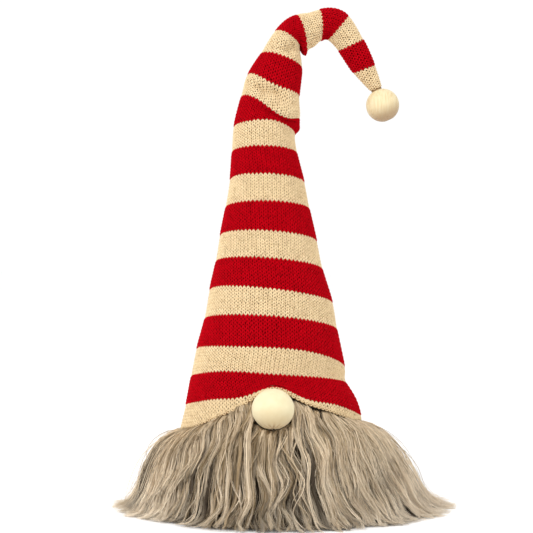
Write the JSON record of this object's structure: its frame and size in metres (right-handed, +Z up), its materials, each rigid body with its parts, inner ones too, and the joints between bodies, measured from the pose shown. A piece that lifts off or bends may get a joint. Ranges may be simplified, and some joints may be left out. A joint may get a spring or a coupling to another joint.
{
  "type": "gnome figurine",
  "caption": "Standing gnome figurine: weighted sack body, long faux-fur beard, stuffed round nose and a tall striped knitted hat on a bendable wire with a wooden bead at its tip.",
  "frame": {"origin": "centre of the underside of the base, on the surface that it stands on", "axes": "+Z up; -Y is the front, where the nose is; the hat's tip hangs towards +X"},
  "size_m": [0.256, 0.1968, 0.3757],
  "materials": {
    "felt": "wool felt, matt",
    "card": "plain grey-brown card",
    "lining": "plain cotton",
    "pellet": "loose pellets",
    "stuffing": "polyester fibre",
    "thread": "twisted cotton",
    "backing": "knitted backing",
    "pile": "long straight faux fur",
    "nose_cloth": "smooth stretch jersey",
    "knit_red": "stockinette, red yarn",
    "knit_cream": "stockinette, cream yarn",
    "wire": "soft annealed wire",
    "bead_wood": "sanded, unfinished"
  },
  "bodies": {
    "body": {"base_cloth": "felt", "base_card": "card", "pellet_bag": "lining", "pellets": "pellet", "body_cloth": "felt", "body_stuffing": "stuffing", "neck_thread": "thread", "beard_backing": "backing", "beard_pile": "pile", "nose_cloth": "nose_cloth", "nose_stuffing": "stuffing", "nose_thread": "thread", "hat_knit_lower": "knit_red", "hat_hem": "knit_cream", "hat_stuffing_lower": "stuffing", "hat_wire_lower": "wire", "hat_wire_loop": "wire"},
    "hat_middle": {"hat_knit_middle": "knit_red", "hat_stuffing_middle": "stuffing", "hat_wire_middle": "wire"},
    "hat_crest": {"hat_knit_crest": "knit_cream", "hat_stuffing_crest": "stuffing", "hat_wire_crest": "wire"},
    "hat_tip": {"hat_knit_tip": "knit_red", "hat_stuffing_tip": "stuffing", "hat_wire_tip": "wire", "bead_cord": "thread", "cord_knot": "thread"},
    "bead": {"tip_bead": "bead_wood"}
  },
  "joints": [
    {"name": "low_bend", "type": "hinge", "parent": "body", "child": "hat_middle", "pos_m": [-0.004, 0, 0.29], "axis": [0, 1, 0], "range_deg": [-25, 15]},
    {"name": "top_bend", "type": "hinge", "parent": "hat_middle", "child": "hat_crest", "pos_m": [0.013, 0, 0.35], "axis": [0, 1, 0], "range_deg": [-45, 15]},
    {"name": "crest_bend", "type": "hinge", "parent": "hat_crest", "child": "hat_tip", "pos_m": [0.04, 0, 0.362], "axis": [0, 1, 0], "range_deg": [-60, 20]},
    {"name": "bead_spin", "type": "hinge", "parent": "hat_tip", "child": "bead", "pos_m": [0.0841, 0, 0.3041], "axis": [0.4048, 0, -0.9144], "continuous": true}
  ]
}
